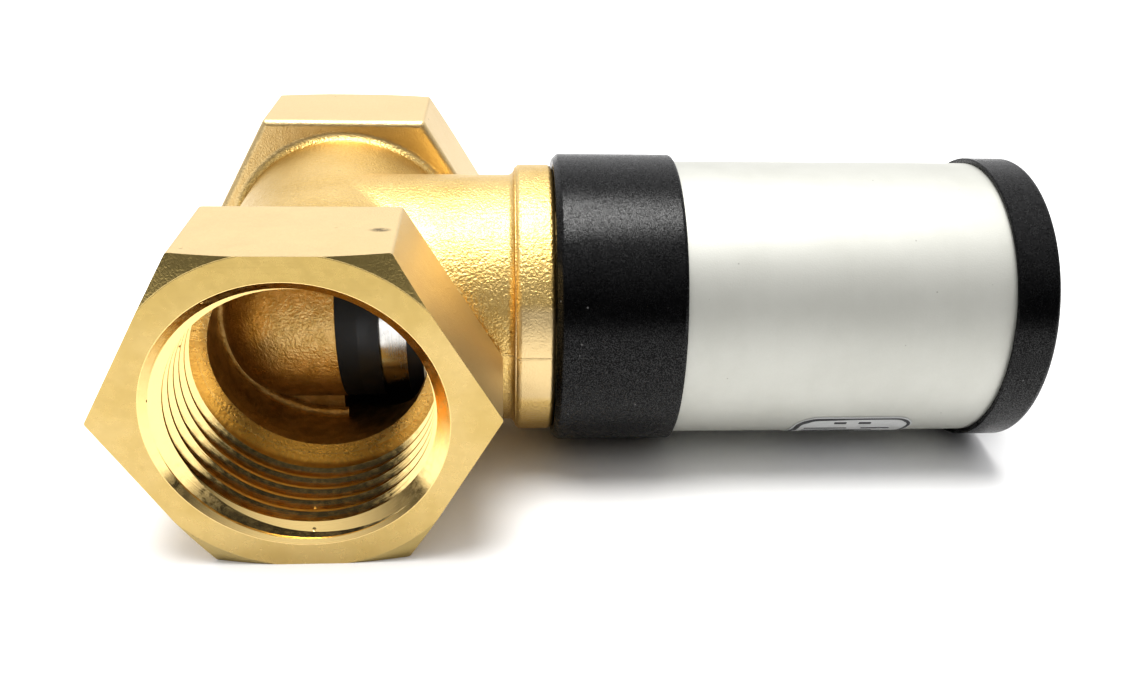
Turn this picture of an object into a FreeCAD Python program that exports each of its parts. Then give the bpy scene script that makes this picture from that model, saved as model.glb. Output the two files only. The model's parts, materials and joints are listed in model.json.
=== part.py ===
import FreeCAD, Part
import math
import os
from FreeCAD import Vector

# Two-way normally closed solenoid valve with a servo piston, lying on its side. Millimetres.
# Y runs along the two ports, X along the solenoid, Z is up. The two axes cross at (0, 0, 0) while
# the pieces are made. At the end each piece is moved along Y, so that the origin is on the port
# axis, at the section where the inlet's full thread begins.

# ---- brass body ----
FACE_TO_FACE = 65.6
HEX_WALL = 3.376                 # brass between the thread's root and a flat
HEX_DEPTH = 15.5
HEX_FACED_STEP = 0.4             # how far the faced circle reaches outside the flats
HEX_FACED_DEPTH = 1.1
HEX_ROUND = 0.9
HEX_EDGE_ROUND = 0.5
THREAD_PITCH = 2.309
PORT_MINOR_R = 15.145
THREAD_DEPTH = 1.479
THREAD_CREST = 0.385
THREADED_DEPTH = 13.4
QUARTER_OFFSET = 20.0            # keeps the quarters of the bore clear of its seam, degrees
PORT_DEPTH = 16.4
MOUTH_CHAMFER = 1.95
BORE_STEP = 1.445
BORE_LIP_LENGTH = 1.6
CAST_RELIEF = 0.7
BARREL_WALL = 2.9
BARREL_FILLET = 1.3
BRANCH_WALL = 1.83
BRANCH_FILLET = 2.7
COLLAR_STEP = 1.4
COLLAR_LENGTH = 5.1
COLLAR_FACE_X = 29.7
COLLAR_ROUND = 0.8
COLLAR_FILLET = 1.0
BEAD_R = 0.8                     # cast bead where the seat barrel meets the bore
BEAD_Y = 7.6
DUCT_WALL = 2.9                  # partition between the inlet chamber and the outlet duct
SEAT_ROUND = 9.0                 # rounding of the seat barrel's end

# ---- seat and piston ----
SEAT_X = 1.66
SEAT_WALL = 2.46
PISTON_R = 13.6
SEAT_MARGIN = 0.06
SEAT_GAP = 0.05
SEAL_THICKNESS = 2.65
HOLDER_THICKNESS = 2.74
CLAMP_RING_LENGTH = 3.5
CLAMP_RING_SETBACK = 0.8
PISTON_LENGTH = 11.4
PISTON_STROKE = 5.5
PISTON_CLEARANCE = 0.4
STEM_R = 5.9
RETAINER_MARGIN = 1.4
RETAINER_THICKNESS = 1.6
RETAINER_HUB_R = 2.6
RETAINER_HUB_LENGTH = 4.0
PASSAGE_R = 1.2
BLEED_R = 0.5
BLEED_SETBACK = 1.6
SLIDE_RING_SETBACK = 4.5
SLIDE_RING_LENGTH = 3.0
SLIDE_RING_DEPTH = 1.5
RUNNING_GAP = 0.08
SLEEVE_WALL = 1.12
SLEEVE_LIP = 1.0
SLEEVE_CLEARANCE = 0.2
SOCKET_SETBACK = 0.4
PISTON_SPRING_WIRE_R = 0.5
PISTON_SPRING_TURNS = 4.5
SPRING_RECESS = 5.0
SPRING_MARGIN = 0.9
SPRING_WALL = 0.8                # between the spring's recess and the slide ring's groove

# ---- pilot and armature ----
NOZZLE_R = 3.0
NOZZLE_LENGTH = 6.0
NOZZLE_TIP_R = 1.6
NOZZLE_BORE_R = 0.9
NOZZLE_HEIGHT = 0.6
PILOT_SEAL_R = 2.6
PILOT_SEAL_THICKNESS = 1.4
PILOT_SEAL_PROUD = 0.1
FOOT_STEP = 0.7
FOOT_LENGTH = 1.8
NECK_STEP = 1.4
LOST_MOTION = 1.8                # armature travel before its foot takes the piston along
CAGE_CLEARANCE = 0.25
CAGE_WALL = 1.15
CAGE_LIP = 1.0
CAGE_FLANGE = 0.8
NECK_MARGIN = 0.85
ARMATURE_R = 5.9
ARMATURE_LENGTH = 31.8
ARMATURE_SLOT_WIDTH = 1.4
ARMATURE_SLOT_DEPTH = 0.8
ARMATURE_SPRING_R = 2.6
ARMATURE_SPRING_WIRE_R = 0.35
ARMATURE_SPRING_TURNS = 11.5
ARMATURE_SPRING_BORE = 10.0
CORE_TUBE_WALL = 0.5
CORE_STANDOUT = 0.6
STUD_R = 4.0
STUD_SHOWN = 0.8

# ---- bonnet ----
BONNET_FLANGE_STEP = 0.75
BONNET_POCKET = 0.5
BONNET_WEB = 1.0
BONNET_HUB_WALL = 2.1
BONNET_HUB_LENGTH = 3.75
RECESS_MARGIN = 0.4
FIT = 0.05                       # radial gap of pieces that are pushed or screwed together
O_RING_R = 0.66
O_RING_GROOVE = 1.8
GROOVE_SETBACK = 1.2

# ---- coil ----
POLE_THICKNESS = 3.0
POLE_CLEARANCE = 0.1
COIL_LENGTH = 31.0
BOBBIN_WALL = 1.0
BOBBIN_FLANGE = 1.2
WINDING_SETBACK = 1.45
TAPE_THICKNESS = 0.35
YOKE_WALL = 0.9
DISC_SPRING_HEIGHT = 1.25
DISC_SPRING_THICKNESS = 0.5
DISC_SPRING_SETBACK = 0.82
WASHER_THICKNESS = 1.5
WASHER_MARGIN = 0.95             # between the washer's rim and the leads
NUT_FLATS = 13.0
NUT_LENGTH = 4.6
LEAD_R = 0.55
LEAD_DEPTH = 2.35                # how deep in the winding the leads come out
LEAD_SPREAD = 1.6
LEAD_HOLE_R = 0.9
LEAD_ROOM = 2.85
LEAD_BEND_R = 1.5
LEAD_END_BEND_R = 0.8

# ---- housing ----
TUBE_SHELF = 0.48
TUBE_WALL = 1.6
RING_STEP = 0.9
RING_LENGTH = 16.3
RING_BEVEL = 0.7
RING_ROUND = 0.5
CAP_STEP = 0.7
CAP_SKIRT = 2.4
CAP_DISC = 3.5
CAP_SPIGOT = 5.1
CAP_SPIGOT_WALL = 2.9
CAP_ROUND = 0.8
CAP_RIM_BEVEL = 0.35
CAP_DISH = 0.4
CAP_RIM_WIDTH = 2.6

# ---- round threaded power inlet, M12 x 1, in the end cap ----
INLET_R = 6.0
INLET_WALL = 1.1
INLET_PROJECTION = 5.5
INLET_POCKET_R = 9.4
INLET_POCKET_DEPTH = 4.0
INLET_POCKET_WALL = 1.6
INLET_FLANGE_R = 8.4
INLET_FLANGE = 1.2
INLET_CHAMFER = 0.4
GASKET_THICKNESS = 0.6
INLET_FLOOR = 2.0
LOCKNUT_LENGTH = 2.0
LOCKNUT_FLATS = 15.0
INSULATOR_SETBACK = 5.0
INLET_TAIL = 0.7
KEY_WIDTH = 1.0
KEY_HEIGHT = 0.55
PIN_R = 0.5
PIN_CIRCLE_R = 3.4
PIN_COUNT = 4
PIN_SETBACK = 0.6

# ---- plate on the lower side of the tube ----
PLATE_LENGTH = 16.4
PLATE_HEIGHT = 12.0
PLATE_CORNER = 3.0
PLATE_THICKNESS = 0.12
PLATE_LIFT = 0.02
PLATE_FROM_CAP = 16.8
PLATE_ANGLE = 51.0               # below the side that faces the inlet, degrees

# ---- places and sizes that follow from the above ----
HALF = FACE_TO_FACE / 2
BARREL_HALF = HALF - HEX_DEPTH
PORT_MAJOR_R = PORT_MINOR_R + THREAD_DEPTH
FLAT_R = PORT_MAJOR_R + HEX_WALL
HEX_CORNER_R = FLAT_R / math.cos(math.pi / 6)
BORE_LIP_R = PORT_MINOR_R - BORE_STEP
CAST_BORE_R = BORE_LIP_R + CAST_RELIEF
BARREL_R = CAST_BORE_R + BARREL_WALL
PORT_END = HALF - PORT_DEPTH

SEAT_R = PISTON_R + SEAT_MARGIN
SEAT_BORE_R = SEAT_R - SEAT_WALL
SLEEVE_BORE_R = PISTON_R + PISTON_CLEARANCE
SLEEVE_R = SLEEVE_BORE_R + SLEEVE_WALL
CHAMBER_R = SLEEVE_R + FIT
BRANCH_R = CHAMBER_R + BRANCH_WALL
COLLAR_R = BRANCH_R + COLLAR_STEP
COLLAR_X = COLLAR_FACE_X - COLLAR_LENGTH
SOCKET_X = COLLAR_X + SOCKET_SETBACK
SLEEVE_LIP_R = SLEEVE_R + SLEEVE_LIP
SOCKET_R = SLEEVE_LIP_R + FIT

SEAL_X = SEAT_X + SEAT_GAP
HOLDER_X = SEAL_X + SEAL_THICKNESS
CLAMP_X = HOLDER_X + HOLDER_THICKNESS
PISTON_X = CLAMP_X + CLAMP_RING_LENGTH
CROWN_X = PISTON_X + PISTON_LENGTH
SLIDE_RING_X = PISTON_X + SLIDE_RING_SETBACK
SPRING_SEAT_X = CROWN_X - SPRING_RECESS
PISTON_SPRING_R = PISTON_R - SLIDE_RING_DEPTH - SPRING_WALL - SPRING_MARGIN
SLEEVE_X = CLAMP_X + PISTON_STROKE + SLEEVE_CLEARANCE
SLEEVE_END_X = SOCKET_X + SLEEVE_LIP

NOZZLE_TIP_X = CROWN_X + NOZZLE_HEIGHT
PILOT_SEAL_X = NOZZLE_TIP_X + SEAT_GAP
FOOT_X = PILOT_SEAL_X + PILOT_SEAL_PROUD
FOOT_END_X = FOOT_X + FOOT_LENGTH
CAGE_LIP_X = FOOT_END_X + LOST_MOTION
CAGE_TOP_X = CAGE_LIP_X + CAGE_LIP
FOOT_R = ARMATURE_R - FOOT_STEP
NECK_R = FOOT_R - NECK_STEP
CAGE_BORE_R = FOOT_R + CAGE_CLEARANCE
CAGE_R = CAGE_BORE_R + CAGE_WALL
ARMATURE_X = CAGE_TOP_X + NECK_MARGIN
ARMATURE_END_X = ARMATURE_X + ARMATURE_LENGTH
ARMATURE_STROKE = PISTON_STROKE + LOST_MOTION
CORE_FACE_X = ARMATURE_END_X + ARMATURE_STROKE + SEAT_GAP
CORE_TUBE_BORE_R = ARMATURE_R + RUNNING_GAP
CORE_TUBE_R = CORE_TUBE_BORE_R + CORE_TUBE_WALL

BONNET_FLANGE_R = SOCKET_R + BONNET_FLANGE_STEP
BONNET_FACE_X = COLLAR_FACE_X + BONNET_POCKET
RECESS_R = max(CAGE_R, ARMATURE_R) + RECESS_MARGIN
RECESS_END_X = CAGE_TOP_X + PISTON_STROKE + RECESS_MARGIN
BONNET_END_X = RECESS_END_X + BONNET_WEB
BONNET_HUB_R = CORE_TUBE_R + BONNET_HUB_WALL
COIL_X = BONNET_END_X + BONNET_HUB_LENGTH

TUBE_BORE_R = BONNET_FLANGE_R + TUBE_SHELF
TUBE_R = TUBE_BORE_R + TUBE_WALL
RING_R = TUBE_R + RING_STEP
RING_X = COLLAR_FACE_X + SEAT_GAP
RING_END_X = COLLAR_FACE_X + RING_LENGTH
CAP_R = TUBE_R + CAP_STEP

POLE_R = TUBE_BORE_R - POLE_CLEARANCE
COIL_BORE_R = CORE_TUBE_R + POLE_CLEARANCE
BOBBIN_X = COIL_X + POLE_THICKNESS
BOBBIN_END_X = BOBBIN_X + COIL_LENGTH
BOBBIN_TUBE_R = COIL_BORE_R + BOBBIN_WALL
BOBBIN_FLANGE_R = POLE_R - YOKE_WALL - POLE_CLEARANCE
WINDING_X = BOBBIN_X + BOBBIN_FLANGE
WINDING_END_X = BOBBIN_END_X - BOBBIN_FLANGE
WINDING_R = BOBBIN_FLANGE_R - WINDING_SETBACK
POLE_END_X = BOBBIN_END_X + POLE_THICKNESS
CORE_END_X = POLE_END_X + CORE_STANDOUT
WASHER_X = POLE_END_X + DISC_SPRING_HEIGHT
NUT_X = WASHER_X + WASHER_THICKNESS
NUT_END_X = NUT_X + NUT_LENGTH
STUD_END_X = NUT_END_X + STUD_SHOWN

INLET_BORE_R = INLET_R - INLET_WALL
PIN_X = STUD_END_X + LEAD_ROOM
INLET_TAIL_X = PIN_X - INLET_TAIL
LOCKNUT_X = INLET_TAIL_X + 0.2
FLOOR_X = LOCKNUT_X + LOCKNUT_LENGTH
POCKET_X = FLOOR_X + INLET_FLOOR
CAP_END_X = POCKET_X + INLET_POCKET_DEPTH
TUBE_END_X = CAP_END_X - CAP_DISC
CAP_X = TUBE_END_X - CAP_SKIRT
SPIGOT_X = TUBE_END_X - CAP_SPIGOT
SPIGOT_R = TUBE_BORE_R - POLE_CLEARANCE
INLET_FLANGE_X = POCKET_X + GASKET_THICKNESS
INLET_FLANGE_END_X = INLET_FLANGE_X + INLET_FLANGE
INLET_END_X = CAP_END_X + INLET_PROJECTION
INSULATOR_END_X = INLET_END_X - INSULATOR_SETBACK
PIN_END_X = INLET_END_X - PIN_SETBACK
LEAD_RADIUS = WINDING_R - LEAD_DEPTH
WASHER_R = LEAD_RADIUS - LEAD_R - WASHER_MARGIN
LEAD_X = STUD_END_X + LEAD_R + 0.5
PIN_OFFSET = PIN_CIRCLE_R * math.sin(math.pi / 4)
PLATE_X = CAP_X - PLATE_FROM_CAP
SEAM = 0.5                       # extra length of a cutter past the face that it opens


# ---- shapes that many pieces share ----

def along_x(radius, x0, x1, y=0.0, z=0.0):
    """A cylinder along X, from x0 to x1."""
    return Part.makeCylinder(radius, x1 - x0, Vector(x0, y, z), Vector(1, 0, 0))


def along_y(radius, y0, y1):
    """A cylinder along Y, from y0 to y1."""
    return Part.makeCylinder(radius, y1 - y0, Vector(0, y0, 0), Vector(0, 1, 0))


def tube_x(inner, outer, x0, x1):
    """A plain tube or washer along X."""
    return along_x(outer, x0, x1).cut(along_x(inner, x0 - SEAM, x1 + SEAM))


def fuse_all(solids):
    """One solid from several that touch or overlap."""
    return solids[0].fuse(solids[1:]).removeSplitter()


def turned(points):
    """A solid of revolution about the X axis, from a closed outline of (x, radius) points."""
    corners = [Vector(x, radius, 0) for x, radius in points]
    outline = Part.makePolygon(corners + [corners[0]])
    return Part.Face(outline).revolve(Vector(0, 0, 0), Vector(1, 0, 0), 360)


def o_ring(inner_r, x):
    """An O-ring round the X axis whose inside just clears the groove floor."""
    return Part.makeTorus(inner_r + FIT + O_RING_R, O_RING_R, Vector(x, 0, 0), Vector(1, 0, 0))


def coil_spring(mean_r, wire_r, turns, x0, x1):
    """An open compression spring along X, between two flat seats."""
    start = x0 + wire_r + FIT
    length = x1 - wire_r - FIT - start
    helix = Part.makeHelix(length / turns, length, mean_r)
    wire_section = Part.Wire([Part.makeCircle(wire_r, Vector(mean_r, 0, 0), Vector(0, 1, 0))])
    spring = Part.Wire(helix.Edges).makePipeShell([wire_section], True, True)
    spring.rotate(Vector(0, 0, 0), Vector(0, 1, 0), 90)
    spring.translate(Vector(start, 0, 0))
    return spring


def hexagon(flats, length, base, direction):
    """A hexagonal prism with two flats facing up and down when its axis is level."""
    corner_r = flats / 2 / math.cos(math.pi / 6)
    corners = []
    for step in range(7):
        angle = math.radians(60 * step)
        corners.append(Vector(corner_r * math.cos(angle), corner_r * math.sin(angle), 0))
    prism = Part.Face(Part.makePolygon(corners)).extrude(Vector(0, 0, length))
    turn = FreeCAD.Rotation(Vector(0, 0, 1), direction)
    prism.Placement = FreeCAD.Placement(base, turn)
    return prism


def cut_all(solid, cutters):
    """The solid with every cutter taken away."""
    for cutter in cutters:
        solid = solid.cut(cutter)
    return solid


# ---- brass body ----

def port_end():
    """The inlet's hexagon: faced at four corners, rounded where it meets the barrel."""
    corners = []
    for step in range(7):
        angle = math.radians(60 * step)
        corners.append(Vector(HEX_CORNER_R * math.cos(angle), -HALF, HEX_CORNER_R * math.sin(angle)))
    prism = Part.Face(Part.makePolygon(corners)).extrude(Vector(0, HEX_DEPTH, 0))
    long_edges = [edge for edge in prism.Edges if edge.BoundBox.YLength > HEX_DEPTH / 2]
    prism = prism.makeFillet(HEX_EDGE_ROUND, long_edges)
    rear_edges = [edge for edge in prism.Edges if edge.BoundBox.YMin > -BARREL_HALF - 0.01]
    prism = prism.makeFillet(HEX_ROUND, rear_edges)
    faced_r = FLAT_R + HEX_FACED_STEP
    reach = HEX_CORNER_R + 1
    slope = (HEX_CORNER_R - faced_r) / HEX_FACED_DEPTH
    depth = (reach - faced_r) / slope
    cone = Part.makeCone(faced_r, reach, depth, Vector(0, -HALF, 0), Vector(0, 1, 0))
    shavings = along_y(reach, -HALF, -HALF + depth).cut(cone)
    sides = Part.makeBox(3 * reach, 2 * depth, FLAT_R, Vector(-1.5 * reach, -HALF - depth / 2, -FLAT_R / 2))
    return prism.cut(shavings.cut(sides))


def barrel_fillet():
    """The cast fillet between the port barrel and the back of the inlet's hexagon."""
    top = BARREL_R + BARREL_FILLET
    base = -BARREL_HALF - SEAM
    start = Vector(top, -BARREL_HALF, 0)
    end = Vector(BARREL_R, -BARREL_HALF + BARREL_FILLET, 0)
    sag = BARREL_FILLET * (1 - math.cos(math.pi / 4))
    middle = Vector(BARREL_R + sag, -BARREL_HALF + sag, 0)
    edges = [
        Part.Arc(start, middle, end).toShape(),
        Part.makeLine(end, Vector(BARREL_R - SEAM, end.y, 0)),
        Part.makeLine(Vector(BARREL_R - SEAM, end.y, 0), Vector(BARREL_R - SEAM, base, 0)),
        Part.makeLine(Vector(BARREL_R - SEAM, base, 0), Vector(top, base, 0)),
        Part.makeLine(Vector(top, base, 0), start),
    ]
    return Part.Face(Part.Wire(edges)).revolve(Vector(0, 0, 0), Vector(0, 1, 0), 360)


def collar_fillet():
    """The cast fillet in the groove between the branch and the collar."""
    top = BRANCH_R + COLLAR_FILLET
    end_x = COLLAR_X + SEAM
    start = Vector(COLLAR_X, top, 0)
    end = Vector(COLLAR_X - COLLAR_FILLET, BRANCH_R, 0)
    sag = COLLAR_FILLET * (1 - math.cos(math.pi / 4))
    middle = Vector(COLLAR_X - sag, BRANCH_R + sag, 0)
    edges = [
        Part.Arc(start, middle, end).toShape(),
        Part.makeLine(end, Vector(end.x, BRANCH_R - SEAM, 0)),
        Part.makeLine(Vector(end.x, BRANCH_R - SEAM, 0), Vector(end_x, BRANCH_R - SEAM, 0)),
        Part.makeLine(Vector(end_x, BRANCH_R - SEAM, 0), Vector(end_x, top, 0)),
        Part.makeLine(Vector(end_x, top, 0), start),
    ]
    return Part.Face(Part.Wire(edges)).revolve(Vector(0, 0, 0), Vector(1, 0, 0), 360)


def turned_over(solid):
    """The same feature at the outlet: half a turn about the vertical axis."""
    copy = solid.copy()
    copy.rotate(Vector(0, 0, 0), Vector(0, 0, 1), 180)
    return copy


def thread_groove():
    """The groove of the inlet's right-hand pipe thread, swept along its helix."""
    lead_in = THREAD_PITCH
    helix = Part.makeHelix(THREAD_PITCH, THREADED_DEPTH + lead_in, PORT_MINOR_R)
    half_mouth = (THREAD_PITCH - THREAD_CREST) / 2
    half_root = THREAD_CREST / 2
    flank = (half_mouth - half_root) / THREAD_DEPTH
    proud = 0.2
    half_proud = half_mouth + flank * proud
    section = [
        Vector(PORT_MINOR_R - proud, 0, -half_proud),
        Vector(PORT_MAJOR_R, 0, -half_root),
        Vector(PORT_MAJOR_R, 0, half_root),
        Vector(PORT_MINOR_R - proud, 0, half_proud),
    ]
    outline = Part.makePolygon(section + [section[0]])
    groove = Part.Wire(helix.Edges).makePipeShell([outline], True, True)
    groove.rotate(Vector(0, 0, 0), Vector(1, 0, 0), -90)
    groove.translate(Vector(0, -HALF - lead_in, 0))
    return groove


def mouth_cutter():
    """The chamfer at the inlet's mouth."""
    wide = PORT_MINOR_R + MOUTH_CHAMFER + SEAM
    return Part.makeCone(wide, PORT_MINOR_R, MOUTH_CHAMFER + SEAM, Vector(0, -HALF - SEAM, 0), Vector(0, 1, 0))


def threaded_bore():
    """The inlet's bore with its thread, in quarters, so that each face of a crest is a short arc."""
    bore = along_y(PORT_MINOR_R, -HALF - SEAM, -PORT_END).fuse(thread_groove())
    quarters = []
    for number in range(4):
        quarter = Part.makeBox(HEX_CORNER_R, 2 * PORT_DEPTH, HEX_CORNER_R, Vector(0, -HALF - PORT_DEPTH / 2, 0))
        quarter.rotate(Vector(0, 0, 0), Vector(0, 1, 0), 90 * number + QUARTER_OFFSET)
        quarters.append(bore.common(quarter))
    return quarters


def rounded_end(solid, radius):
    """A cylinder along X with its far end, on the -X side, rounded."""
    rim = [edge for edge in solid.Edges if edge.BoundBox.XMax < 0]
    return solid.makeFillet(radius, rim)


def seat_barrel():
    """The cast barrel that carries the seat, with a rounded end, on a web that closes the inlet bore."""
    barrel = rounded_end(along_x(SEAT_R, -CAST_BORE_R, SEAT_X), SEAT_ROUND)
    web = along_y(CAST_BORE_R + SEAM, -BEAD_Y + BEAD_R / 2, 0)
    beyond = Part.makeBox(2 * BARREL_R, 2 * BARREL_R, 2 * BARREL_R, Vector(SEAT_X - 0.6, -BARREL_R, -BARREL_R))
    return barrel.fuse(web.cut(beyond))


def seat_pool():
    """The space under the seat, which keeps the barrel's wall even."""
    return rounded_end(along_x(SEAT_BORE_R, SEAT_WALL - CAST_BORE_R, SEAT_X + SEAM), SEAT_ROUND - SEAT_WALL)


def cast_bead():
    """The raised bead where the seat barrel runs into the wall of the inlet bore."""
    bead = Part.makeTorus(CAST_BORE_R - BEAD_R / 3, BEAD_R, Vector(0, -BEAD_Y, 0), Vector(0, 1, 0))
    kept = Part.makeBox(2 * BARREL_R, 2 * BARREL_R, 2 * BARREL_R, Vector(SEAT_X - 2 * BARREL_R, -BARREL_R, -BARREL_R))
    return bead.common(kept)


def body_outside():
    """The cast outside of the body."""
    hexagon_end = port_end()
    fillet = barrel_fillet()
    barrel = along_y(BARREL_R, -HALF + SEAM, HALF - SEAM)
    tee = barrel.fuse(along_x(BRANCH_R, 0, COLLAR_X + SEAM))
    junction = [edge for edge in tee.Edges if not isinstance(edge.Curve, (Part.Line, Part.Circle))]
    tee = tee.makeFillet(BRANCH_FILLET, junction)
    collar = along_x(COLLAR_R, COLLAR_X, COLLAR_FACE_X)
    rims = [edge for edge in collar.Edges if isinstance(edge.Curve, Part.Circle)]
    collar = collar.makeFillet(COLLAR_ROUND, rims)
    return fuse_all([tee, collar, collar_fillet(), hexagon_end, fillet,
                     turned_over(hexagon_end), turned_over(fillet)])


def valve_body():
    """The brass body: two threaded ports, a seat between them, and a socket for the bonnet."""
    inlet = fuse_all([
        along_y(BORE_LIP_R, -PORT_END - SEAM, -PORT_END + BORE_LIP_LENGTH),
        along_y(CAST_BORE_R, -PORT_END + BORE_LIP_LENGTH, 0),
    ])
    inlet = inlet.cut(seat_barrel())
    duct_side = Part.makeBox(2 * BARREL_R, HALF, 2 * BARREL_R,
                             Vector(SEAT_X - DUCT_WALL - 2 * BARREL_R, 0, -BARREL_R))
    duct = along_y(BORE_LIP_R, 0, PORT_END + SEAM).common(duct_side)
    cavities = [
        inlet,
        along_x(CHAMBER_R, SEAT_X, SOCKET_X + SEAM),
        along_x(SOCKET_R, SOCKET_X, COLLAR_FACE_X + SEAM),
        seat_pool(),
        duct,
        mouth_cutter(),
        turned_over(mouth_cutter()),
    ]
    body = body_outside()
    quarters = threaded_bore()
    for quarter in quarters + [turned_over(quarter) for quarter in quarters]:
        body = body.cut(quarter)
    return cut_all(body, cavities).fuse(cast_bead())


# ---- sleeve and bonnet ----

def guide_sleeve():
    """The liner that the piston slides in, held by its lip under the bonnet."""
    liner = along_x(SLEEVE_R, SLEEVE_X, SLEEVE_END_X)
    lip = along_x(SLEEVE_LIP_R, SOCKET_X, SLEEVE_END_X)
    return fuse_all([liner, lip]).cut(along_x(SLEEVE_BORE_R, SLEEVE_X - SEAM, SLEEVE_END_X + SEAM))


def groove_cutter(floor_r, x):
    """An O-ring groove round the X axis, centred at x."""
    return tube_x(floor_r, floor_r + 2 * O_RING_GROOVE, x - O_RING_GROOVE / 2, x + O_RING_GROOVE / 2)


SPIGOT_GROOVE_R = SOCKET_R - FIT - 2 * O_RING_R - FIT
SPIGOT_GROOVE_X = COLLAR_FACE_X - GROOVE_SETBACK
FLANGE_GROOVE_R = BONNET_FLANGE_R - 2 * O_RING_R - FIT
FLANGE_GROOVE_X = COLLAR_FACE_X + BONNET_POCKET + GROOVE_SETBACK + 0.4
CAP_GROOVE_R = SPIGOT_R - 2 * O_RING_R - FIT
CAP_GROOVE_X = SPIGOT_X + GROOVE_SETBACK + 0.9


def bonnet():
    """The screwed cover of the branch, with a hub that holds the core tube."""
    shape = fuse_all([
        along_x(SOCKET_R - FIT, SLEEVE_END_X, COLLAR_FACE_X + SEAM),
        along_x(BONNET_FLANGE_R, COLLAR_FACE_X, BONNET_END_X),
        along_x(BONNET_HUB_R, BONNET_END_X - SEAM, COIL_X),
    ])
    return cut_all(shape, [
        along_x(SLEEVE_BORE_R, SLEEVE_END_X - SEAM, BONNET_FACE_X),
        along_x(RECESS_R, BONNET_FACE_X - SEAM, RECESS_END_X),
        along_x(CORE_TUBE_R + FIT, RECESS_END_X - SEAM, COIL_X + SEAM),
        groove_cutter(SPIGOT_GROOVE_R, SPIGOT_GROOVE_X),
        groove_cutter(FLANGE_GROOVE_R, FLANGE_GROOVE_X),
    ])


# ---- piston ----

def main_seal():
    """The rubber disc that closes on the seat."""
    return tube_x(STEM_R + FIT, PISTON_R, SEAL_X, HOLDER_X)


def seal_holder():
    """The disc that backs the seal."""
    return tube_x(STEM_R + FIT, PISTON_R, HOLDER_X, CLAMP_X)


def seal_retainer():
    """The plate inside the seat that clamps the seal, with a hub screwed into the piston's stem."""
    plate = along_x(SEAT_BORE_R - RETAINER_MARGIN, SEAL_X - RETAINER_THICKNESS, SEAL_X)
    hub = along_x(RETAINER_HUB_R, SEAL_X - SEAM, SEAL_X + RETAINER_HUB_LENGTH)
    return fuse_all([plate, hub]).cut(along_x(PASSAGE_R, SEAL_X - RETAINER_THICKNESS - SEAM, PISTON_X))


def clamp_ring():
    """The stainless ring between the seal holder and the piston."""
    return tube_x(STEM_R + FIT, PISTON_R - CLAMP_RING_SETBACK, CLAMP_X, PISTON_X)


def piston_body():
    """The piston with its stem, spring recess, ring groove, pilot passage and bleed."""
    shape = fuse_all([along_x(PISTON_R, PISTON_X, CROWN_X), along_x(STEM_R, SEAL_X, PISTON_X + SEAM)])
    bleed_x = PISTON_X + BLEED_SETBACK
    bleed_inlet = Part.makeCylinder(BLEED_R, PISTON_R, Vector(bleed_x, 0, PISTON_SPRING_R), Vector(0, 0, 1))
    return cut_all(shape, [
        along_x(RETAINER_HUB_R + FIT, SEAL_X - SEAM, SEAL_X + RETAINER_HUB_LENGTH + FIT),
        along_x(PASSAGE_R, SEAL_X, CROWN_X),
        along_x(NOZZLE_R + FIT, CROWN_X - NOZZLE_LENGTH, CROWN_X + SEAM),
        tube_x(PISTON_SPRING_R - SPRING_MARGIN, PISTON_SPRING_R + SPRING_MARGIN, SPRING_SEAT_X, CROWN_X + SEAM),
        tube_x(PISTON_R - SLIDE_RING_DEPTH, PISTON_R + SEAM, SLIDE_RING_X, SLIDE_RING_X + SLIDE_RING_LENGTH),
        along_x(BLEED_R, bleed_x, SPRING_SEAT_X + SEAM, 0, PISTON_SPRING_R),
        bleed_inlet,
    ])


def piston_ring():
    """The slide ring in the piston's groove."""
    inner = PISTON_R - SLIDE_RING_DEPTH + FIT
    outer = SLEEVE_BORE_R - RUNNING_GAP
    return tube_x(inner, outer, SLIDE_RING_X + FIT, SLIDE_RING_X + SLIDE_RING_LENGTH - FIT)


def pilot_seat():
    """The nozzle in the piston's crown, which the armature closes."""
    start = CROWN_X - NOZZLE_LENGTH
    return turned([
        (start, NOZZLE_BORE_R), (start, NOZZLE_R), (CROWN_X, NOZZLE_R),
        (NOZZLE_TIP_X, NOZZLE_TIP_R), (NOZZLE_TIP_X, NOZZLE_BORE_R),
    ])


def lifting_cage():
    """The collar on the piston's crown. The armature's foot lifts it by its lip."""
    lip_bore = NECK_R + CAGE_CLEARANCE
    return turned([
        (CROWN_X, CAGE_BORE_R), (CROWN_X, CAGE_R + CAGE_FLANGE),
        (CROWN_X + CAGE_FLANGE, CAGE_R + CAGE_FLANGE), (CROWN_X + CAGE_FLANGE, CAGE_R),
        (CAGE_TOP_X, CAGE_R), (CAGE_TOP_X, lip_bore), (CAGE_LIP_X, lip_bore), (CAGE_LIP_X, CAGE_BORE_R),
    ])


def piston_spring():
    """The spring that closes the piston against its seat."""
    return coil_spring(PISTON_SPRING_R, PISTON_SPRING_WIRE_R, PISTON_SPRING_TURNS, SPRING_SEAT_X, BONNET_FACE_X)


# ---- armature ----

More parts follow.
